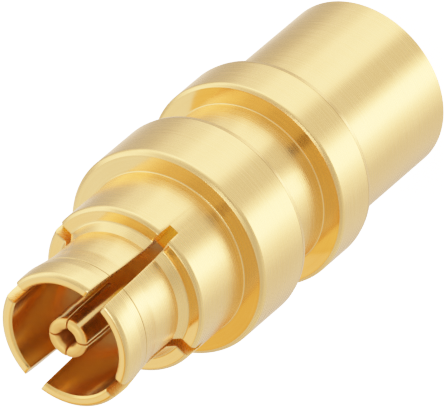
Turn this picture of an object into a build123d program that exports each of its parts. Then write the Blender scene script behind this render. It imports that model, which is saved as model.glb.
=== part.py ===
"""Straight cable end of a miniature push-on coaxial connector, with its socket contact and beads.

The axis is +Z, the rear face stands on Z = 0 and the mating end looks up.
Distances called "depth" are measured back from the front face, as on a drawing of such an end.
"""
import os

from build123d import *

os.makedirs("parts", exist_ok=True)

# Body: overall
body_length = 8.57
barrel_radius = 1.475
band_radius = 1.743
collar_radius = 1.400

# Body: spring fingers, from the front face to the collar
mouth_radius = 0.950
mouth_bevel = 0.030
lip_radius = 1.132
lip_round = 0.067
brow_radius = 1.142
brow_depth = 0.130
ridge_radius = 1.145
ridge_depth = 0.200
ridge_length = 0.160
land_radius = 1.120
land_depth = 0.549
neck_radius = 1.070
neck_depth = 0.900
finger_slot_front = 0.320
finger_slot_root = 0.170
finger_slot_depth = 1.940

# Body: collar front, its rim and foot as shares of the step up from the fingers
collar_face_depth = 1.660
collar_foot_depth = 1.510
collar_foot_share = 0.273
collar_rim_share = 0.167
collar_rim_length_share = 0.127
collar_rim_round_share = 0.348

# Body: the two bands and the groove between them, rims and feet as shares of their step
band_1_face_depth = 2.850
band_1_length = 1.240
band_2_face_depth = 5.145
band_2_length = 0.850
band_1_face_lean = 0.020
band_2_face_lean = 0.005
band_1_rim_share = 0.213
band_1_rim_length_share = 0.131
band_1_rim_round_share = 0.431
band_2_rim_share = 0.175
band_2_rim_length_share = 0.093
band_2_rim_round_share = 0.320
band_foot_share = 0.087
band_back_length = 0.100
band_back_share = 0.073

# Body: bores behind the mating cavity
stop_ring_radius = 0.880
stop_ring_depth = 2.800
stop_ring_length = 0.200
bead_bore_radius = 0.950
cable_bore_radius = 1.120
cable_mouth_bevel = 0.050

# Contact
contact_recess = 0.050
contact_tip_radius = 0.340
contact_radius = 0.355
contact_taper_length = 0.450
contact_tip_round = 0.060
pin_hole_radius = 0.140
pin_hole_root_radius = 0.160
pin_hole_depth = 1.500
contact_slot_front = 0.024
contact_slot_root = 0.070
contact_slot_depth = 1.200
contact_turn = 29.5
flange_radius = 0.480
flange_length = 0.200
cup_radius = 0.370
cup_bore_radius = 0.265
cup_bore_depth = 0.900
cup_window_radius = 0.110
contact_bead_clearance = 0.010

# Beads and the bushing behind them
front_bead_length = 1.000
rear_bead_length = 0.800
bushing_length = 0.700
bushing_bore_radius = 0.780
bushing_bevel = 0.060
cup_inset = 0.100

# Levels along the axis, shared by the pieces
front_level = body_length
stop_ring_level = front_level - stop_ring_depth
bead_front_level = stop_ring_level - stop_ring_length
bead_joint_level = bead_front_level - front_bead_length
bushing_front_level = bead_joint_level - rear_bead_length
bushing_back_level = bushing_front_level - bushing_length
contact_front_level = front_level - contact_recess
cup_back_level = bushing_back_level + cup_inset

# Heights of the two steps, which size the rims and feet beside them
collar_step = collar_radius - neck_radius
band_step = band_radius - collar_radius


def band_outline(face_depth, length, face_lean, rim_share, rim_length_share):
    """Corner points of one band, from its back edge to the foot of its front face."""
    foot = front_level - face_depth
    rim = foot - face_lean
    back = foot - length
    return [
        (band_radius - band_back_share * band_step, back),
        (band_radius, back + band_back_length),
        (band_radius, rim - rim_length_share * band_step),
        (band_radius - rim_share * band_step, rim),
        (collar_radius, foot),
    ]


def slot_outline(front_width, root_width, front, depth):
    """Corner points of a slot seen from the side, narrower or wider at its root."""
    return [
        (-front_width / 2, front),
        (front_width / 2, front),
        (root_width / 2, front - depth),
        (-root_width / 2, front - depth),
    ]


band_1 = band_outline(band_1_face_depth, band_1_length, band_1_face_lean,
                      band_1_rim_share, band_1_rim_length_share)
band_2 = band_outline(band_2_face_depth, band_2_length, band_2_face_lean,
                      band_2_rim_share, band_2_rim_length_share)
collar_face_level = front_level - collar_face_depth
collar_rim = (collar_radius, collar_face_level - collar_rim_length_share * collar_step)
lip_corner = (lip_radius, front_level)

body_outline = [
    (cable_bore_radius + cable_mouth_bevel, 0),
    (barrel_radius, 0),
    (barrel_radius, band_2[0][1]),
    *band_2,
    (collar_radius, band_1[0][1]),
    *band_1,
    collar_rim,
    (collar_radius - collar_rim_share * collar_step, collar_face_level),
    (neck_radius + collar_foot_share * collar_step, collar_face_level),
    (neck_radius, front_level - collar_foot_depth),
    (neck_radius, front_level - neck_depth),
    (land_radius, front_level - land_depth),
    (ridge_radius, front_level - ridge_depth - ridge_length),
    (ridge_radius, front_level - ridge_depth),
    (brow_radius, front_level - brow_depth),
    lip_corner,
    (mouth_radius + mouth_bevel, front_level),
    (mouth_radius, front_level - mouth_bevel),
    (mouth_radius, stop_ring_level),
    (stop_ring_radius, stop_ring_level),
    (stop_ring_radius, bead_front_level),
    (bead_bore_radius, bead_front_level),
    (bead_bore_radius, bushing_back_level),
    (cable_bore_radius, bushing_back_level),
    (cable_bore_radius, cable_mouth_bevel),
]

body_rounds = [
    (band_2[-3], band_2_rim_round_share * band_step),
    (band_2[-1], band_foot_share * band_step),
    (band_1[-3], band_1_rim_round_share * band_step),
    (band_1[-1], band_foot_share * band_step),
    (collar_rim, collar_rim_round_share * collar_step),
    (lip_corner, lip_round),
]
finger_slot_outline = slot_outline(finger_slot_front, finger_slot_root,
                                   front_level, finger_slot_depth)

with BuildPart() as body:
    with BuildSketch(Plane.XZ) as body_section:
        with BuildLine():
            Polyline(*body_outline, close=True)
        make_face()
        for (corner_radius, corner_level), rounding in body_rounds:
            corner = body_section.vertices().sort_by_distance(
                (corner_radius, corner_level, 0))[:1]
            fillet(corner, radius=rounding)
    revolve(axis=Axis.Z)
    for turn in (0, 90):
        with BuildSketch(Plane.XZ.rotated((0, 0, turn))):
            with BuildLine():
                Polyline(*finger_slot_outline, close=True)
            make_face()
        extrude(amount=band_radius, both=True, mode=Mode.SUBTRACT)
body.part.label = "body"
export_step(body.part, "parts/body.step")

flange_back_level = bead_joint_level - flange_length
contact_outline = [
    (cup_bore_radius, cup_back_level),
    (cup_radius, cup_back_level),
    (cup_radius, flange_back_level),
    (flange_radius, flange_back_level),
    (flange_radius, bead_joint_level),
    (contact_radius, bead_joint_level),
    (contact_radius, contact_front_level - contact_taper_length),
    (contact_tip_radius, contact_front_level - contact_tip_round),
    (contact_tip_radius - contact_tip_round, contact_front_level),
    (pin_hole_radius, contact_front_level),
    (pin_hole_root_radius, contact_front_level - contact_slot_depth),
    (pin_hole_root_radius, contact_front_level - pin_hole_depth),
    (0, contact_front_level - pin_hole_depth - pin_hole_root_radius),
    (0, cup_back_level + cup_bore_depth + cup_bore_radius),
    (cup_bore_radius, cup_back_level + cup_bore_depth),
]
contact_slot_outline = slot_outline(contact_slot_front, contact_slot_root,
                                    contact_front_level, contact_slot_depth)

with BuildPart() as centre_contact:
    with BuildSketch(Plane.XZ):
        with BuildLine():
            Polyline(*contact_outline, close=True)
        make_face()
    revolve(axis=Axis.Z)
    for turn in (contact_turn, contact_turn + 90):
        with BuildSketch(Plane.XZ.rotated((0, 0, turn))):
            with BuildLine():
                Polyline(*contact_slot_outline, close=True)
            make_face()
        extrude(amount=contact_radius * 2, both=True, mode=Mode.SUBTRACT)
    window_level = cup_back_level + cup_bore_depth - cup_window_radius
    with BuildSketch(Plane.YZ):
        with Locations((0, window_level)):
            Circle(cup_window_radius)
    extrude(amount=cup_radius * 2, mode=Mode.SUBTRACT)
centre_contact.part.label = "centre_contact"
export_step(centre_contact.part, "parts/centre_contact.step")

front_bead_bore = contact_radius + contact_bead_clearance
with BuildPart() as front_insulator:
    with BuildSketch(Plane.XY.offset(bead_joint_level)):
        Circle(bead_bore_radius)
        Circle(front_bead_bore, mode=Mode.SUBTRACT)
    extrude(amount=front_bead_length)
front_insulator.part.label = "front_insulator"
export_step(front_insulator.part, "parts/front_insulator.step")

rear_bead_bore = cup_radius + contact_bead_clearance
flange_recess_radius = flange_radius + contact_bead_clearance
with BuildPart() as rear_insulator:
    with BuildSketch(Plane.XY.offset(bushing_front_level)):
        Circle(bead_bore_radius)
        Circle(rear_bead_bore, mode=Mode.SUBTRACT)
    extrude(amount=rear_bead_length)
    with BuildSketch(Plane.XY.offset(bead_joint_level)):
        Circle(flange_recess_radius)
    extrude(amount=-flange_length, mode=Mode.SUBTRACT)
rear_insulator.part.label = "rear_insulator"
export_step(rear_insulator.part, "parts/rear_insulator.step")

with BuildPart() as retaining_bushing:
    with BuildSketch(Plane.XY.offset(bushing_back_level)):
        Circle(bead_bore_radius)
        Circle(bushing_bore_radius, mode=Mode.SUBTRACT)
    extrude(amount=bushing_length)
    back_edges = retaining_bushing.edges().group_by(Axis.Z)[0].sort_by(SortBy.RADIUS)[:1]
    chamfer(back_edges, length=bushing_bevel)
retaining_bushing.part.label = "retaining_bushing"
export_step(retaining_bushing.part, "parts/retaining_bushing.step")
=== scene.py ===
"""Looks of a miniature push-on coaxial connector's cable end: gold plate and white beads.

The part stands on its rear face with its axis along +Z, and the mating end looks up.
Sizes are millimetres until a mesh or a material takes them.
A "depth" is measured back from the front face.
"""
import math

import bpy
from mathutils import Matrix, Vector


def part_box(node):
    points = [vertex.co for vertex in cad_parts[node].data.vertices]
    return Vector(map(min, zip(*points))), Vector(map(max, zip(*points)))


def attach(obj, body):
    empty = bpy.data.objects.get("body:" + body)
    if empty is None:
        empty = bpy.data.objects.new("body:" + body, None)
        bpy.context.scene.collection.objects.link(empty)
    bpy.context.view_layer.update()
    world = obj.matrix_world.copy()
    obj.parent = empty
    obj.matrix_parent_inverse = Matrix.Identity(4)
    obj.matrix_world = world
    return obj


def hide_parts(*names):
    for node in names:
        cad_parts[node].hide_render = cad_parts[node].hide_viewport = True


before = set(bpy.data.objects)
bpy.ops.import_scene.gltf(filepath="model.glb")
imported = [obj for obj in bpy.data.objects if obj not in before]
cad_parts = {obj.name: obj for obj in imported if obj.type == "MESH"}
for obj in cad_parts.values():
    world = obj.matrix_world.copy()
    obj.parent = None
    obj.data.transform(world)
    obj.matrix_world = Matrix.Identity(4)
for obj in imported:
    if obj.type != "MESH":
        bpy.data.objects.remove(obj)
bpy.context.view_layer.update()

MM = 0.001

# Driving sizes, read from the frame
body_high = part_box("body")[1]
contact_low, contact_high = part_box("centre_contact")
front_bead_low, front_bead_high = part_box("front_insulator")
rear_bead_low, rear_bead_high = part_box("rear_insulator")
bushing_low, bushing_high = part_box("retaining_bushing")
FRONT = body_high.z / MM
BAND_RADIUS = body_high.x / MM
BEAD_RADIUS = bushing_high.x / MM

# Body: rear barrel, collar and bands
BARREL_RADIUS = 1.475
COLLAR_RADIUS = 1.400
COLLAR_FACE_DEPTH = 1.660
COLLAR_RIM_LENGTH = 0.042
COLLAR_RIM_HEIGHT = 0.055
COLLAR_FOOT_HEIGHT = 0.090
COLLAR_FOOT_DEPTH = 1.510
BAND_1_FACE_DEPTH = 2.850
BAND_1_BACK_DEPTH = 4.090
BAND_2_FACE_DEPTH = 5.145
BAND_2_BACK_DEPTH = 5.995
BAND_BACK_LENGTH = 0.090
BAND_BACK_HEIGHT = 0.022

# Body: spring fingers
NECK_RADIUS = 1.070
NECK_DEPTH = 0.900
LAND_RADIUS = 1.120
LAND_DEPTH = 0.549
LAND_LINE_CUT = 0.011
LAND_LINE_REACH = 0.012
LAND_LINE_FALL_BEHIND = 0.002
LAND_LINE_RISE_AHEAD = 0.001
RIDGE_RADIUS = 1.145
RIDGE_BACK_DEPTH = 0.360
RIDGE_FRONT_DEPTH = 0.200
BROW_RADIUS = 1.142
BROW_DEPTH = 0.130
LIP_RADIUS = 1.132
FINGER_SLOT_FRONT = 0.320
FINGER_SLOT_ROOT = 0.170
FINGER_SLOT_DEPTH = 1.940
FINGER_SLOT_LEVEL = FRONT - FINGER_SLOT_DEPTH

# Body: bores
MOUTH_RADIUS = 0.950
MOUTH_BEVEL = 0.030
STOP_RING_RADIUS = 0.880
STOP_RING_LENGTH = 0.200
CABLE_BORE_RADIUS = 1.120
CABLE_MOUTH_BEVEL = 0.050

# Centre contact
CONTACT_TIP_RADIUS = 0.340
CONTACT_RADIUS = 0.355
CONTACT_TAPER_LENGTH = 0.450
PIN_HOLE_RADIUS = 0.140
PIN_HOLE_ROOT_RADIUS = 0.160
PIN_HOLE_DEPTH = 1.500
CONTACT_SLOT_FRONT = 0.024
CONTACT_SLOT_ROOT = 0.070
CONTACT_SLOT_DEPTH = 1.200
CONTACT_TURN = math.radians(29.5)
CORE_RADIUS = 0.002
FLANGE_RADIUS = 0.480
FLANGE_LENGTH = 0.200
CUP_RADIUS = 0.370
CUP_BORE_RADIUS = 0.265
CUP_BORE_DEPTH = 0.900

# Beads and bushing
BEAD_CLEARANCE = 0.010
BUSHING_BORE_RADIUS = 0.780
BUSHING_BEVEL = 0.060

# Rounds of the edges
HAIR_ROUND = 0.005
MOUTH_ROUND = 0.008
CRISP_ROUND = 0.010
BAND_EDGE_ROUND = 0.012
FINGER_EDGE_ROUND = 0.012
COLLAR_EDGE_ROUND = 0.016
SOFT_ROUND = 0.020
COLLAR_FOOT_ROUND = 0.040
LIP_ROUND = 0.067
BAND_BACK_ROUND = 0.080
BAND_1_RIM_ROUND = 0.148
BAND_2_RIM_ROUND = 0.110
COLLAR_RIM_ROUND = 0.115
RIDGE_ROUND = 0.300
NECK_ROUND = 0.600
TINE_INNER_ROUND = 0.045
TINE_OUTER_ROUND = 0.012
TINE_ROUND_BLEND = 0.060
TIP_INNER_ROUND = 0.080
TIP_OUTER_ROUND = 0.090

# Mesh density
ARC_STEPS_PER_MM = 90
FEWEST_ARC_STEPS = 5
MOST_ARC_STEPS = 12
WIDEST_ARC_SHARE = 0.49
SUPPORT_GAP = 0.006
SUPPORT_SHARE = 0.495
SHARP_DEGREES = 26
LEAST_MITRE = 0.5
LEVEL_TOLERANCE = 1e-6
WIDEST_SLOT_SINE = 0.6
BEAD_COLUMNS = 128


def rounded(corners):
    """Points of a closed outline whose corners (radius, level, rounding) are rounded by arcs.

    One more point beyond each end of an arc keeps the shading of the straight parts flat.
    """
    points = []
    for index, (r, z, rounding) in enumerate(corners):
        here = Vector((r, z))
        if rounding <= 0:
            points.append(here)
            continue
        steps = max(FEWEST_ARC_STEPS, min(MOST_ARC_STEPS, round(rounding * ARC_STEPS_PER_MM)))
        to_last = Vector(corners[index - 1][:2]) - here
        to_next = Vector(corners[(index + 1) % len(corners)][:2]) - here
        half = to_last.angle(to_next) / 2
        room = WIDEST_ARC_SHARE * min(to_last.length, to_next.length)
        reach = min(rounding / math.tan(half), room)
        start = here + to_last.normalized() * reach
        end = here + to_next.normalized() * reach
        before = min(SUPPORT_GAP, SUPPORT_SHARE * to_last.length - reach)
        beyond = min(SUPPORT_GAP, SUPPORT_SHARE * to_next.length - reach)
        radius = reach * math.tan(half)
        inward = (to_last.normalized() + to_next.normalized()).normalized()
        centre = here + inward * (radius / math.sin(half))
        first = start - centre
        last = end - centre
        sweep = first.angle(last)
        if first.cross(last) < 0:
            sweep = -sweep
        points.append(start + to_last.normalized() * before)
        for step in range(steps + 1):
            share = sweep * step / steps
            turned = Vector((
                first.x * math.cos(share) - first.y * math.sin(share),
                first.x * math.sin(share) + first.y * math.cos(share),
            ))
            points.append(centre + turned)
        points.append(end + to_next.normalized() * beyond)
    return points


def finish_mesh(name, verts, faces):
    """Makes a smooth-shaded object of vertices in millimetres, with creases at sharp turns."""
    mesh = bpy.data.meshes.new(name)
    mesh.from_pydata([v * MM for v in verts], [], faces)
    mesh.validate()
    mesh.polygons.foreach_set("use_smooth", [True] * len(mesh.polygons))
    mesh.set_sharp_from_angle(angle=math.radians(SHARP_DEGREES))
    piece = bpy.data.objects.new(name, mesh)
    bpy.context.scene.collection.objects.link(piece)
    return piece


def on_circle(radius, angle, z):
    """The point at an angle round the axis."""
    return Vector((radius * math.cos(angle), radius * math.sin(angle), z))


def lathe(name, points, columns):
    """A closed outline of (radius, level) points turned about Z."""
    verts = [on_circle(p.x, math.tau * c / columns, p.y) for p in points for c in range(columns)]
    faces = []
    for row in range(len(points)):
        here = row * columns
        after = (row + 1) % len(points) * columns
        for c in range(columns):
            d = (c + 1) % columns
            faces.append((here + c, here + d, after + d, after + c))
    return finish_mesh(name, verts, faces)


def inset_normals(points):
    """Directions into the material for each point of a closed outline, mitred at corners."""
    normals = []
    for i, here in enumerate(points):
        before = (here - points[i - 1]).normalized()
        after = (points[(i + 1) % len(points)] - here).normalized()
        inward = Vector((-before.y, before.x)) + Vector((-after.y, after.x))
        inward.normalize()
        mitre = max(LEAST_MITRE, inward.dot(Vector((-before.y, before.x))))
        normals.append(inward / mitre)
    return normals


def slotted_lathe(name, points, slot_level, half_width, edge_round, turn=0.0,
                  slots=4, columns=44, bridge=8, edge_steps=3):
    """A closed outline turned about Z, with straight slots cut from its front down to slot_level.

    half_width(z) gives half the slot's width, and edge_round(r) the round of its long edges.
    The outline runs up the outside, over the front and down the inside, and has one point
    at slot_level on each side. columns is the number of faces round from one slot to the next,
    and bridge is the number of those that close the ring below a slot.
    """
    count = len(points)
    normals = inset_normals(points)
    at_level = [i for i, p in enumerate(points) if abs(p.y - slot_level) < LEVEL_TOLERANCE]
    outer, inner = at_level[0], at_level[-1]
    upper = range(outer, inner + 1)
    quarter = math.tau / slots
    verts, faces, index = [], [], {}

    def vertex(key, position):
        """The number of a vertex, which is made the first time that its key is asked for."""
        if key not in index:
            index[key] = len(verts)
            verts.append(Matrix.Rotation(turn, 3, "Z") @ position)
        return index[key]

    def edge_angle(i):
        """Half the angle that a slot and its rounds take; capped, so the core doesn't fold."""
        r, z = points[i]
        return math.asin(min(WIDEST_SLOT_SINE, (half_width(z) + edge_round(r)) / r))

    def wall(slot, i, column):
        """Vertex of the turned surface; column 0 is the slot's edge, past columns is the bridge."""
        free = edge_angle(i)
        if column <= columns:
            angle = free + (quarter - 2 * free) * column / columns
        else:
            angle = quarter - free + 2 * free * (column - columns) / bridge
        position = on_circle(points[i].x, slot * quarter + angle, points[i].y)
        if column == columns + bridge:
            return vertex(("wall", (slot + 1) % slots, i, 0), position)
        return vertex(("wall", slot, i, column), position)

    def edge(slot, side, i, step):
        """Vertex of the rounded long edge beside a slot, from the turned surface to the cut face."""
        if step == 0 and side > 0:
            return wall(slot, i, 0)
        if step == 0:
            return wall((slot - 1) % slots, i, columns)
        swing = math.pi / 2 * step / edge_steps
        rounding = edge_round(points[i].x)
        across = half_width(points[i].y) + rounding * (1 - math.sin(swing))
        moved = points[i] + normals[i] * rounding * (1 - math.cos(swing))
        if i in (outer, inner):
            moved.y = slot_level
        along = math.sqrt(max(0.0, moved.x ** 2 - across ** 2))
        position = Matrix.Rotation(slot * quarter, 3, "Z") @ Vector((along, side * across, moved.y))
        return vertex(("edge", slot, side, i, step), position)

    def add_turned_faces(slot):
        """The faces from one slot to the next, which go on round below the slots."""
        for i in range(count):
            after = (i + 1) % count
            last = columns if i in upper and after in upper else columns + bridge
            for c in range(last):
                faces.append((wall(slot, i, c), wall(slot, i, c + 1),
                              wall(slot, after, c + 1), wall(slot, after, c)))

    def add_slot_side(slot, side):
        """The rounded long edge on one side of a slot, and its cut face."""
        for i in range(outer, inner):
            for step in range(edge_steps):
                quad = (edge(slot, side, i, step), edge(slot, side, i + 1, step),
                        edge(slot, side, i + 1, step + 1), edge(slot, side, i, step + 1))
                faces.append(quad if side > 0 else quad[::-1])
        cut_face = [edge(slot, side, i, edge_steps) for i in upper]
        faces.append(cut_face if side > 0 else cut_face[::-1])

    def add_slot_floor(slot):
        """The flat floor of a slot, from the outer wall round to the outer wall again."""
        before = (slot - 1) % slots
        rim = [wall(before, outer, columns + k) for k in range(bridge + 1)]
        rim += [edge(slot, 1, outer, step) for step in range(1, edge_steps + 1)]
        rim += [edge(slot, 1, inner, step) for step in range(edge_steps, 0, -1)]
        rim += [wall(before, inner, columns + k) for k in range(bridge, -1, -1)]
        rim += [edge(slot, -1, inner, step) for step in range(1, edge_steps + 1)]
        rim += [edge(slot, -1, outer, step) for step in range(edge_steps, 0, -1)]
        faces.append(rim)

    for slot in range(slots):
        add_turned_faces(slot)
        add_slot_side(slot, 1)
        add_slot_side(slot, -1)
        add_slot_floor(slot)
    return finish_mesh(name, verts, faces)


def slot_half_width(front, front_width, root_width, depth):
    """Half the width of a tapered slot, as a function of the level."""
    def half_width(z):
        share = max(0.0, min(1.0, (front - z) / depth))
        return (front_width + (root_width - front_width) * share) / 2
    return half_width


def band_corners(face_depth, back_depth, face_lean, rim_length, rim_height, rim_round,
                 behind_radius=COLLAR_RADIUS):
    """Corners of one band, from its back edge to the foot of its front face."""
    foot = FRONT - face_depth
    rim = foot - face_lean
    back = FRONT - back_depth
    return [
        (behind_radius, back, SOFT_ROUND),
        (BAND_RADIUS - BAND_BACK_HEIGHT, back, BAND_EDGE_ROUND),
        (BAND_RADIUS, back + BAND_BACK_LENGTH, BAND_BACK_ROUND),
        (BAND_RADIUS, rim - rim_length, rim_round),
        (BAND_RADIUS - rim_height, rim, BAND_EDGE_ROUND),
        (COLLAR_RADIUS, foot, SOFT_ROUND),
    ]


def build_body():
    """The turned body with its spring fingers, collar, bands and bores."""
    band_1 = band_corners(BAND_1_FACE_DEPTH, BAND_1_BACK_DEPTH, face_lean=0.020,
                          rim_length=0.045, rim_height=0.073, rim_round=BAND_1_RIM_ROUND)
    band_2 = band_corners(BAND_2_FACE_DEPTH, BAND_2_BACK_DEPTH, face_lean=0.005,
                          rim_length=0.032, rim_height=0.060, rim_round=BAND_2_RIM_ROUND,
                          behind_radius=BARREL_RADIUS)
    collar_face = FRONT - COLLAR_FACE_DEPTH
    land_end = FRONT - LAND_DEPTH
    bushing_back = bushing_low.z / MM
    bead_front = front_bead_high.z / MM
    stop_ring = bead_front + STOP_RING_LENGTH
    corners = [
        (CABLE_BORE_RADIUS + CABLE_MOUTH_BEVEL, 0, CRISP_ROUND),
        (BARREL_RADIUS, 0, SOFT_ROUND),
        *band_2,
        *band_1,
        (COLLAR_RADIUS, FINGER_SLOT_LEVEL, 0),
        (COLLAR_RADIUS, collar_face - COLLAR_RIM_LENGTH, COLLAR_RIM_ROUND),
        (COLLAR_RADIUS - COLLAR_RIM_HEIGHT, collar_face, COLLAR_EDGE_ROUND),
        (NECK_RADIUS + COLLAR_FOOT_HEIGHT, collar_face, COLLAR_FOOT_ROUND),
        (NECK_RADIUS, FRONT - COLLAR_FOOT_DEPTH, CRISP_ROUND),
        (NECK_RADIUS, FRONT - NECK_DEPTH, NECK_ROUND),
        (LAND_RADIUS - LAND_LINE_FALL_BEHIND, land_end - LAND_LINE_REACH, 0),
        (LAND_RADIUS - LAND_LINE_CUT, land_end, 0),
        (LAND_RADIUS + LAND_LINE_RISE_AHEAD, land_end + LAND_LINE_REACH, 0),
        (RIDGE_RADIUS, FRONT - RIDGE_BACK_DEPTH, RIDGE_ROUND),
        (RIDGE_RADIUS, FRONT - RIDGE_FRONT_DEPTH, RIDGE_ROUND),
        (BROW_RADIUS, FRONT - BROW_DEPTH, SOFT_ROUND),
        (LIP_RADIUS, FRONT, LIP_ROUND),
        (MOUTH_RADIUS + MOUTH_BEVEL, FRONT, MOUTH_ROUND),
        (MOUTH_RADIUS, FRONT - MOUTH_BEVEL, CRISP_ROUND),
        (MOUTH_RADIUS, FINGER_SLOT_LEVEL, 0),
        (MOUTH_RADIUS, stop_ring, SOFT_ROUND),
        (STOP_RING_RADIUS, stop_ring, CRISP_ROUND),
        (STOP_RING_RADIUS, bead_front, HAIR_ROUND),
        (BEAD_RADIUS, bead_front, CRISP_ROUND),
        (BEAD_RADIUS, bushing_back, CRISP_ROUND),
        (CABLE_BORE_RADIUS, bushing_back, CRISP_ROUND),
        (CABLE_BORE_RADIUS, CABLE_MOUTH_BEVEL, CRISP_ROUND),
    ]
    half_width = slot_half_width(FRONT, FINGER_SLOT_FRONT, FINGER_SLOT_ROOT, FINGER_SLOT_DEPTH)
    return slotted_lathe("body_shell", rounded(corners), FINGER_SLOT_LEVEL, half_width,
                         lambda r: FINGER_EDGE_ROUND)


def tine_edge_round(r):
    """Round of the long edges of the tines, which is larger at the pin hole than outside."""
    share = max(0.0, min(1.0, (r - PIN_HOLE_ROOT_RADIUS) / TINE_ROUND_BLEND))
    return TINE_INNER_ROUND + (TINE_OUTER_ROUND - TINE_INNER_ROUND) * share


def build_contact():
    """The socket contact with its pinched tines, flange and solder cup."""
    top = contact_high.z / MM
    bottom = contact_low.z / MM
    joint = front_bead_low.z / MM
    flange_back = joint - FLANGE_LENGTH
    slot_level = top - CONTACT_SLOT_DEPTH
    corners = [
        (CUP_BORE_RADIUS, bottom, CRISP_ROUND),
        (CUP_RADIUS, bottom, SOFT_ROUND),
        (CUP_RADIUS, flange_back, CRISP_ROUND),
        (FLANGE_RADIUS, flange_back, CRISP_ROUND),
        (FLANGE_RADIUS, joint, CRISP_ROUND),
        (CONTACT_RADIUS, joint, CRISP_ROUND),
        (CONTACT_RADIUS, slot_level, 0),
        (CONTACT_RADIUS, top - CONTACT_TAPER_LENGTH, NECK_ROUND),
        (CONTACT_TIP_RADIUS, top, TIP_OUTER_ROUND),
        (PIN_HOLE_RADIUS, top, TIP_INNER_ROUND),
        (PIN_HOLE_ROOT_RADIUS, slot_level, 0),
        (PIN_HOLE_ROOT_RADIUS, top - PIN_HOLE_DEPTH, CRISP_ROUND),
        (CORE_RADIUS, top - PIN_HOLE_DEPTH - PIN_HOLE_ROOT_RADIUS, 0),
        (CORE_RADIUS, bottom + CUP_BORE_DEPTH + CUP_BORE_RADIUS, 0),
        (CUP_BORE_RADIUS, bottom + CUP_BORE_DEPTH, CRISP_ROUND),
    ]
    half_width = slot_half_width(top, CONTACT_SLOT_FRONT, CONTACT_SLOT_ROOT, CONTACT_SLOT_DEPTH)
    return slotted_lathe("socket_contact", rounded(corners), slot_level, half_width,
                         tine_edge_round, turn=CONTACT_TURN, columns=24, bridge=4)


def build_bead(name, low, high, bore, recess_radius=0.0, recess_depth=0.0):
    """A white bead with softened rims, and a recess in its front for the contact's flange."""
    bottom, top, radius = low.z / MM, high.z / MM, high.x / MM
    corners = [(bore, bottom, SOFT_ROUND), (radius, bottom, SOFT_ROUND), (radius, top, SOFT_ROUND)]
    if recess_radius:
        floor = top - recess_depth
        corners += [(recess_radius, top, CRISP_ROUND), (recess_radius, floor, CRISP_ROUND),
                    (bore, floor, CRISP_ROUND)]
    else:
        corners.append((bore, top, SOFT_ROUND))
    return lathe(name, rounded(corners), BEAD_COLUMNS)


def build_bushing():
    """The pressed ring behind the beads."""
    bottom, top = bushing_low.z / MM, bushing_high.z / MM
    corners = [
        (BUSHING_BORE_RADIUS + BUSHING_BEVEL, bottom, CRISP_ROUND),
        (BEAD_RADIUS, bottom, CRISP_ROUND),
        (BEAD_RADIUS, top, CRISP_ROUND),
        (BUSHING_BORE_RADIUS, top, CRISP_ROUND),
        (BUSHING_BORE_RADIUS, bottom + BUSHING_BEVEL, CRISP_ROUND),
    ]
    return lathe("bushing_ring", rounded(corners), BEAD_COLUMNS)


class Nodes:
    """Short helpers for one node tree. A value is a number, a tuple or another node's output."""

    def __init__(self, owner):
        owner.use_nodes = True
        self.tree = owner.node_tree

    def add(self, kind, **settings):
        node = self.tree.nodes.new(kind)
        for key, value in settings.items():
            setattr(node, key, value)
        return node

    def put(self, value, socket):
        if isinstance(value, bpy.types.NodeSocket):
            self.tree.links.new(value, socket)
        else:
            socket.default_value = value

    def math(self, operation, first, second=0.0):
        node = self.add("ShaderNodeMath", operation=operation)
        self.put(first, node.inputs[0])
        self.put(second, node.inputs[1])
        return node.outputs[0]

    def split(self, vector):
        node = self.add("ShaderNodeSeparateXYZ")
        self.put(vector, node.inputs[0])
        return node.outputs

    def change(self, value, start, end, low=0.0, high=1.0, way="SMOOTHSTEP"):
        """Goes from low to high while value goes from start to end."""
        node = self.add("ShaderNodeMapRange", interpolation_type=way)
        self.put(value, node.inputs["Value"])
        self.put(start, node.inputs["From Min"])
        self.put(end, node.inputs["From Max"])
        self.put(low, node.inputs["To Min"])
        self.put(high, node.inputs["To Max"])
        return node.outputs["Result"]

    def mix(self, factor, first, second, data_type="RGBA", blend_type="MIX"):
        node = self.add("ShaderNodeMix", data_type=data_type, blend_type=blend_type)
        self.put(factor, node.inputs["Factor"])
        self.put(first, node.inputs["A"])
        self.put(second, node.inputs["B"])
        return node.outputs["Result"]

    def noise(self, vector, scale, detail=2.0):
        node = self.add("ShaderNodeTexNoise")
        self.put(scale, node.inputs["Scale"])
        self.put(detail, node.inputs["Detail"])
        self.put(vector, node.inputs["Vector"])
        return node.outputs["Fac"]

    def ramp(self, factor, stops):
        """A colour ramp between two stops, each of them a place and its colour."""
        node = self.add("ShaderNodeValToRGB")
        for element, (place, colour) in zip(node.color_ramp.elements, stops):
            element.position = place
            element.color = (*colour, 1)
        self.put(factor, node.inputs["Fac"])
        return node.outputs["Color"]

    def bump(self, height, strength, distance):
        node = self.add("ShaderNodeBump")
        self.put(strength, node.inputs["Strength"])
        self.put(distance, node.inputs["Distance"])
        self.put(height, node.inputs["Height"])
        return node.outputs["Normal"]


# Gold plate: scales are per metre, and a tone is a place on the ramp and its colour
PLATE_TONES = [(0.35, (0.93, 0.565, 0.19)), (0.65, (1.0, 0.635, 0.235))]
# Painted reflection: the bore's plate is tinted redder and darker, standing for light bounced between
# the gold walls
BORE_PAINTED_REFLECTION_TINT = (1.0, 0.90, 0.72)
# Painted reflection: the sawn slot floors are tinted a deep yellow, standing for light bounced between
# the slot's gold walls
SAWN_FLOOR_PAINTED_REFLECTION_TINT = (1.0, 1.08, 0.30)
SAWN_REACH = 0.02
SAWN_FLATNESS = 0.5
RING_SCALE = 30000.0
RING_DETAIL = 3.0
RING_SHARE = 0.6
STREAK_SCALE = 1500.0
STREAK_DETAIL = 4.0
STREAK_SQUEEZE = 14.0
CLOUD_SCALE = 900.0
CLOUD_SHARE = 0.3
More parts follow.
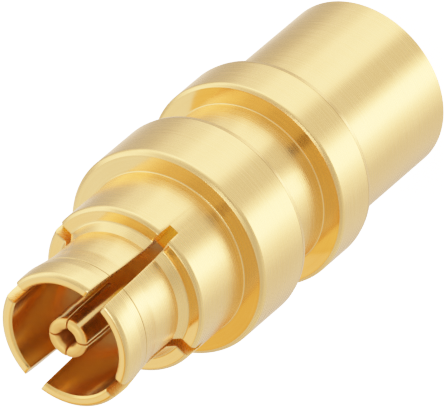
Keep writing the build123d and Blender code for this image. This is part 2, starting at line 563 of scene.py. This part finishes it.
# Painted shade: thin dark rings at creases and edges
PAINTED_SHADE_COLOUR = (0.20, 0.11, 0.03)
PAINTED_SHADE_SHARE = 0.8
PAINTED_SHADE_CORE = 0.4
GLOSS_TONES = (0.3, 0.7)
GLOSS_SPREAD = 0.15
FACE_FLATNESS = (0.95, 0.99)
LINE_HEIGHT = 0.002
ACROSS_THE_LINES = 0.25


def tool_lines(made, place, level, radius, turned):
    """Fine rings and faint streaks round the axis, as a value about one half.

    It is one half all over where turned is 0.
    """
    rings = made.add("ShaderNodeTexNoise", noise_dimensions="1D")
    made.put(1.0, rings.inputs["Scale"])
    made.put(RING_DETAIL, rings.inputs["Detail"])
    made.put(made.math("MULTIPLY", made.math("SUBTRACT", level, radius), RING_SCALE), rings.inputs["W"])
    squeeze = made.add("ShaderNodeMapping")
    made.put((1.0, 1.0, STREAK_SQUEEZE), squeeze.inputs["Scale"])
    made.put(place, squeeze.inputs["Vector"])
    streaks = made.noise(squeeze.outputs["Vector"], STREAK_SCALE, STREAK_DETAIL)
    lines = made.math("ADD", made.math("MULTIPLY", rings.outputs["Fac"], RING_SHARE),
                      made.math("MULTIPLY", streaks, 1 - RING_SHARE))
    return made.math("ADD", made.math("MULTIPLY", made.math("SUBTRACT", lines, 0.5), turned), 0.5)


def painted_shade_share(made, level, rings):
    """How dark each level is made by thin rings (level, half width) of painted shade."""
    share = 0.0
    for ring_level, half_width in rings:
        away = made.math("ABSOLUTE", made.math("SUBTRACT", level, ring_level * MM))
        ring = made.change(away, half_width * MM, PAINTED_SHADE_CORE * half_width * MM)
        share = made.math("MAXIMUM", ring, share)
    return made.math("MULTIPLY", share, PAINTED_SHADE_SHARE)


def gold(name, roughness, anisotropy, line_bump, bore_radius, bore_roughness, face_polish=1.0,
         sawn_level=-1.0, shade_rings=()):
    """Gold plate over a turned surface: fine rings, faint streaks and a slight colour change.

    Inside bore_radius the plate has painted reflection: it is painted redder and darker, as light
    bounced between the gold walls would make it. There it has no rings and its roughness is
    bore_roughness.
    face_polish is the share of the roughness left on the flat faces. The sawn floors at
    sawn_level keep all of it, have no rings and are painted a deeper yellow, a painted
    reflection of light bounced between the slot's gold walls.
    shade_rings are thin dark rings (level, half width) of painted shade, at creases and edges.
    """
    material = bpy.data.materials.new(name)
    made = Nodes(material)
    shader = made.tree.nodes["Principled BSDF"].inputs
    place = made.add("ShaderNodeTexCoord").outputs["Object"]
    x, y, level = made.split(place)
    radius = made.math("SQRT", made.math("ADD", made.math("POWER", x, 2.0),
                                         made.math("POWER", y, 2.0)))
    normal = made.split(made.add("ShaderNodeNewGeometry").outputs["Normal"])
    flatness = made.math("ABSOLUTE", normal["Z"])
    outside = made.math("GREATER_THAN", radius, bore_radius * MM)
    off_level = made.math("ABSOLUTE", made.math("SUBTRACT", level, sawn_level * MM))
    turned = made.math("MAXIMUM", made.math("GREATER_THAN", off_level, SAWN_REACH * MM),
                       made.math("LESS_THAN", flatness, SAWN_FLATNESS))
    lines = tool_lines(made, place, level, radius, turned)

    clouds = made.noise(place, CLOUD_SCALE)
    tone = made.math("ADD", made.math("MULTIPLY", clouds, CLOUD_SHARE),
                     made.math("MULTIPLY", lines, 1 - CLOUD_SHARE))
    plate = made.ramp(tone, PLATE_TONES)
    # Painted shade: thin dark rings darken the plate at creases and edges
    if shade_rings:
        dark = made.math("MULTIPLY", painted_shade_share(made, level, shade_rings), outside)
        plate = made.mix(dark, plate, (*PAINTED_SHADE_COLOUR, 1))
    # Painted reflection: the bore and the sawn slot floors are tinted redder and deeper yellow,
    # standing for light bounced between the gold walls
    for kept, tint in ((outside, BORE_PAINTED_REFLECTION_TINT), (turned, SAWN_FLOOR_PAINTED_REFLECTION_TINT)):
        plate = made.mix(made.math("SUBTRACT", 1.0, kept), plate, (*tint, 1), blend_type="MULTIPLY")
    made.put(plate, shader["Base Color"])
    made.put(1.0, shader["Metallic"])

    gloss = made.change(lines, *GLOSS_TONES, roughness * (1 - GLOSS_SPREAD),
                        roughness * (1 + GLOSS_SPREAD), way="LINEAR")
    polish = made.change(made.math("MULTIPLY", flatness, turned), *FACE_FLATNESS, 1.0, face_polish)
    gloss = made.math("MULTIPLY", gloss, polish)
    made.put(made.mix(outside, bore_roughness, gloss, data_type="FLOAT"), shader["Roughness"])
    made.put(made.math("MULTIPLY", outside, anisotropy), shader["Anisotropic"])
    made.put(ACROSS_THE_LINES, shader["Anisotropic Rotation"])
    tangent = made.add("ShaderNodeTangent", direction_type="RADIAL", axis="Z")
    made.put(tangent.outputs["Tangent"], shader["Tangent"])

    upright = made.math("MULTIPLY", outside, made.math("SUBTRACT", 1.0, flatness))
    strength = made.math("MULTIPLY", upright, line_bump)
    made.put(made.bump(lines, strength, LINE_HEIGHT * MM), shader["Normal"])
    return material


# White fluoroplastic
BEAD_TONES = [(0.3, (0.86, 0.86, 0.83)), (0.7, (0.92, 0.92, 0.90))]
BEAD_ROUGHNESS = 0.45
BEAD_MOTTLE_SCALE = 2500.0
BEAD_MOTTLE_DETAIL = 3.0
BEAD_MOTTLE_STRENGTH = 0.3
BEAD_MOTTLE_HEIGHT = 0.003
BEAD_SUBSURFACE_SHARE = 0.2
BEAD_SUBSURFACE_REACH = 0.2


def white_bead():
    """White fluoroplastic: soft, slightly waxy, with a faint mottling."""
    material = bpy.data.materials.new("white_bead")
    made = Nodes(material)
    shader = made.tree.nodes["Principled BSDF"].inputs
    place = made.add("ShaderNodeTexCoord").outputs["Object"]
    mottle = made.noise(place, BEAD_MOTTLE_SCALE, BEAD_MOTTLE_DETAIL)
    made.put(made.ramp(mottle, BEAD_TONES), shader["Base Color"])
    made.put(BEAD_ROUGHNESS, shader["Roughness"])
    made.put(BEAD_SUBSURFACE_SHARE, shader["Subsurface Weight"])
    made.put([BEAD_SUBSURFACE_REACH * MM] * 3, shader["Subsurface Radius"])
    made.put(made.bump(mottle, BEAD_MOTTLE_STRENGTH, BEAD_MOTTLE_HEIGHT * MM), shader["Normal"])
    return material


def dress(piece, material, node):
    """Gives a piece its material, hangs it on the root body and hides the CAD node that it stands for.
    """
    piece.data.materials.append(material)
    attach(piece, "root")
    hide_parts(node)


# Camera: the photo looks at the mating end, with the axis leaning to the lower left.
# It was fitted to the rims and slots in the photo, where one unit is UNIT millimetres.
# LOOK_TILT is the axis's angle above the picture's horizontal, LOOK_SLANT is its angle to the
# line of sight, SLOT_TURN turns the part about it, and AXIS_POINT is a point on it, right, down
# and ahead of the eye.
UNIT = 1.12
IMAGE_WIDTH = 444
FOCAL_PIXELS = 12224.45
UNIT_PIXELS = 74.7
LOOK_TILT = math.radians(40.49)
LOOK_SLANT = math.radians(44.29)
SLOT_TURN = math.radians(8.5)
AXIS_POINT = Vector((-2.21437, 1.91355, FOCAL_PIXELS / UNIT_PIXELS)) * UNIT
AXIS_POINT_LEVEL = FRONT + 0.19 * UNIT
SENSOR_WIDTH = 36.0
NEAR_CLIP_METRES = 0.01
FAR_CLIP_METRES = 10.0


def place_camera():
    """Sets the camera from the photo's tilt and slant, and returns the azimuth of its side.

    The axes of the view are right, down and forward.
    """
    up = -Vector((math.sin(LOOK_SLANT) * math.cos(LOOK_TILT),
                  -math.sin(LOOK_SLANT) * math.sin(LOOK_TILT), math.cos(LOOK_SLANT)))
    flat_x = -Vector((math.sin(LOOK_TILT), math.cos(LOOK_TILT), 0))
    flat_y = up.cross(flat_x)
    row_x = flat_x * math.cos(SLOT_TURN) + flat_y * math.sin(SLOT_TURN)
    row_y = up.cross(row_x)
    right, down, forward = (Vector(axis) for axis in zip(row_x, row_y, up))
    point = Vector((0, 0, AXIS_POINT_LEVEL))
    eye = point - right * AXIS_POINT.x - down * AXIS_POINT.y - forward * AXIS_POINT.z
    data = bpy.data.cameras.new("photo_camera")
    data.sensor_fit = "HORIZONTAL"
    data.sensor_width = SENSOR_WIDTH
    data.lens = FOCAL_PIXELS / IMAGE_WIDTH * SENSOR_WIDTH
    data.clip_start = NEAR_CLIP_METRES
    data.clip_end = FAR_CLIP_METRES
    camera = bpy.data.objects.new("photo_camera", data)
    turn = Matrix((right, -down, -forward)).transposed()
    camera.matrix_world = Matrix.Translation(eye * MM) @ turn.to_4x4()
    bpy.context.scene.collection.objects.link(camera)
    bpy.context.scene.camera = camera
    return math.atan2(-forward.y, -forward.x)


# Light panels: (azimuth, half width, lowest, highest, softness) in degrees, and strength
BASE_LEVEL = 0.21
PANELS = [
    # Low ones, which the upright walls return to the camera
    (-39, 13, -80, -33, 3, 0.54),
    (-40, 23, -80, -34, 8, 0.42),
    (-66, 14, -80, -25, 9, 0.18),
    (-95, 50, -80, 30, 20, 0.08),
    (15, 30, -70, 34, 12, 0.09),
    (43, 23, -80, -8, 8, 0.36),
    (76, 18, -50, 24, 10, 0.22),
    (125, 22, -80, -35, 12, -0.03),
    (172, 22, -80, 10, 12, 0.18),
    # Ones at the side, for the leaning rims and feet
    (68, 34, -30, 20, 14, 0.14),
    (112, 22, 0, 44, 8, 0.32),
    (105, 50, 32, 56, 10, 0.12),
    # High ones on the far side, for the flat faces
    (155, 34, 25, 55, 8, 0.13),
    (-155, 34, 25, 55, 8, 0.05),
    # The dark place of the camera itself
    (-4, 6, 38, 53, 3, -0.8),
    # The roof, which lights the rounded edges
    (0, 180, 81, 100, 4, 2.1),
]
WARM_PANEL = (-159, 20, 25, 62, 2.5, 1.0)
WARM_COLOUR = (1.0, 0.60, 0.20)


def studio_world(camera_side):
    """Studio light all round: a base level and soft-edged panels.

    A panel's azimuth goes round from the camera's side. A negative strength is a dark panel.
    The warm panel only colours the light that comes from it.
    """
    world = bpy.data.worlds.new("studio")
    made = Nodes(world)
    background = made.tree.nodes["Background"].inputs
    x, y, z = made.split(made.add("ShaderNodeTexCoord").outputs["Generated"])
    azimuth = made.math("ARCTAN2", y, x)
    height = made.math("ARCSINE", z)

    def panel(centre, half_width, lowest, highest, softness, strength):
        middle = camera_side + math.radians(centre)
        side, low, high, soft = map(math.radians, (half_width, lowest, highest, softness))
        away = made.math("ARCCOSINE", made.math("COSINE", made.math("SUBTRACT", azimuth, middle)))
        within_sides = made.change(away, side + soft, side - soft)
        above_low = made.change(height, low - soft, low + soft)
        below_high = made.change(height, high + soft, high - soft)
        share = made.math("MULTIPLY", within_sides, made.math("MULTIPLY", above_low, below_high))
        return made.math("MULTIPLY", share, strength)

    level = BASE_LEVEL
    for shape in PANELS:
        level = made.math("ADD", panel(*shape), level)
    colour = made.mix(panel(*WARM_PANEL), (1, 1, 1, 1), (*WARM_COLOUR, 1))
    made.put(colour, background["Color"])
    made.put(made.math("MAXIMUM", level), background["Strength"])
    bpy.context.scene.world = world


FILM_SLOPE = 4.6
FILM_LIGHTS = (0.05, 0.1, 0.2, 0.3, 0.45, 0.65)
ALL_COLOURS_CURVE = 3


def film_response():
    """A film-like response: bright colours bleach towards white, as in the photo's highlights."""
    view = bpy.context.scene.view_settings
    view.view_transform = "Standard"
    view.use_curve_mapping = True
    curve = view.curve_mapping.curves[ALL_COLOURS_CURVE]
    for light in FILM_LIGHTS:
        curve.points.new(light, 1 - math.exp(-FILM_SLOPE * light))
    view.curve_mapping.update()


FLOOR_HALF_METRES = 2.0
FLOOR_COLOUR = (0.92, 0.92, 0.92, 1)
FLOOR_ROUGHNESS = 0.9
FLOOR_SPECULAR = 0.1
FLOOR_GLOW = 0.8


def pale_floor():
    """A plain pale floor under the part, lit evenly like a light table."""
    half = FLOOR_HALF_METRES
    corners = [(-half, -half, 0), (half, -half, 0), (half, half, 0), (-half, half, 0)]
    mesh = bpy.data.meshes.new("floor")
    mesh.from_pydata(corners, [], [(0, 1, 2, 3)])
    floor = bpy.data.objects.new("floor", mesh)
    bpy.context.scene.collection.objects.link(floor)
    material = bpy.data.materials.new("pale_floor")
    made = Nodes(material)
    shader = made.tree.nodes["Principled BSDF"].inputs
    made.put(FLOOR_COLOUR, shader["Base Color"])
    made.put(FLOOR_ROUGHNESS, shader["Roughness"])
    made.put(FLOOR_SPECULAR, shader["Specular IOR Level"])
    made.put((1, 1, 1, 1), shader["Emission Color"])
    made.put(FLOOR_GLOW, shader["Emission Strength"])
    floor.data.materials.append(material)
    floor.visible_glossy = False
    floor.visible_shadow = False


# Painted shade: thin dark rings in the crease at the end of the land and along the back rim of each
# band
PAINTED_SHADE_RINGS = [
    (FRONT - LAND_DEPTH, 0.011),
    (FRONT - BAND_1_BACK_DEPTH + BAND_BACK_LENGTH, 0.008),
    (FRONT - BAND_2_BACK_DEPTH + BAND_BACK_LENGTH, 0.008),
]

satin = gold("gold_satin", roughness=0.27, anisotropy=0.7, line_bump=0.5,
             bore_radius=1.0, bore_roughness=0.22, face_polish=0.42,
             sawn_level=FINGER_SLOT_LEVEL, shade_rings=PAINTED_SHADE_RINGS)
bright = gold("gold_bright", roughness=0.20, anisotropy=0.3, line_bump=0.05,
              bore_radius=0.33, bore_roughness=0.5)
white = white_bead()

dress(build_body(), satin, "body")
dress(build_contact(), bright, "centre_contact")
front_bead = build_bead("front_bead", front_bead_low, front_bead_high,
                        bore=CONTACT_RADIUS + BEAD_CLEARANCE)
dress(front_bead, white, "front_insulator")
rear_bead = build_bead("rear_bead", rear_bead_low, rear_bead_high,
                       bore=CUP_RADIUS + BEAD_CLEARANCE,
                       recess_radius=FLANGE_RADIUS + BEAD_CLEARANCE, recess_depth=FLANGE_LENGTH)
dress(rear_bead, white, "rear_insulator")
dress(build_bushing(), satin, "retaining_bushing")

camera_side = place_camera()
pale_floor()
studio_world(camera_side)
film_response()
